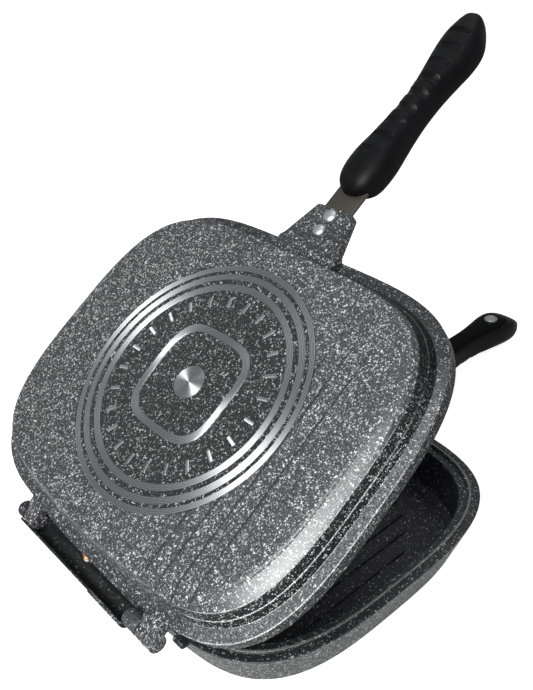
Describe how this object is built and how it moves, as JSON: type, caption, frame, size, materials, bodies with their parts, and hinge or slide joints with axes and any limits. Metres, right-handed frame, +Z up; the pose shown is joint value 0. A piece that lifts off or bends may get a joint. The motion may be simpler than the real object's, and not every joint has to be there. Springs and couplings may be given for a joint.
{
  "type": "double sided flip pan",
  "caption": "Hinged die cast frying pan whose lid is a second shallow pan, so the closed pan can be turned over; magnets in the handles hold it shut.",
  "frame": {"origin": "centre of the lower shell's base disc, on the surface that the pan stands on", "axes": "+Z up, +Y from the hinge towards the handles, +X along the hinge axis"},
  "size_m": [0.317, 0.4784, 0.3137],
  "materials": {
    "cast_coat": "grey granite non-stick coating with white flecks",
    "silicone": "matt silicone",
    "pin_steel": "ground steel",
    "polished_stud": "polished",
    "tang_steel": "dull brown grey steel",
    "rivet": "satin",
    "grip": "satin black moulding",
    "screw_steel": "zinc plated",
    "insert_brass": "turned brass",
    "magnet": "nickel plated magnet",
    "magnet_cup": "nickel plated steel"
  },
  "bodies": {
    "base": {"lower_shell": "cast_coat", "hinge_pin_left": "pin_steel", "hinge_pin_right": "pin_steel", "lower_tang": "tang_steel", "lower_rivet_inner": "rivet", "lower_rivet_outer": "rivet", "lower_grip": "grip", "lower_grip_screw_inner": "screw_steel", "lower_grip_screw_outer": "screw_steel", "lower_grip_insert_inner": "insert_brass", "lower_grip_insert_outer": "insert_brass", "lower_magnet": "magnet", "lower_magnet_cup": "magnet_cup"},
    "lid": {"upper_shell": "cast_coat", "rim_gasket": "silicone", "hinge_stud": "polished_stud", "upper_tang": "tang_steel", "upper_rivet_inner": "rivet", "upper_rivet_outer": "rivet", "upper_grip": "grip", "upper_grip_screw_inner": "screw_steel", "upper_grip_screw_outer": "screw_steel", "upper_grip_insert_inner": "insert_brass", "upper_grip_insert_outer": "insert_brass", "upper_magnet": "magnet", "upper_magnet_cup": "magnet_cup"}
  },
  "joints": [
    {"name": "lid_hinge", "type": "hinge", "parent": "base", "child": "lid", "pos_m": [0, -0.13605, 0.04], "axis": [1, 0, 0], "range_deg": [-32.5, 80.5]}
  ]
}
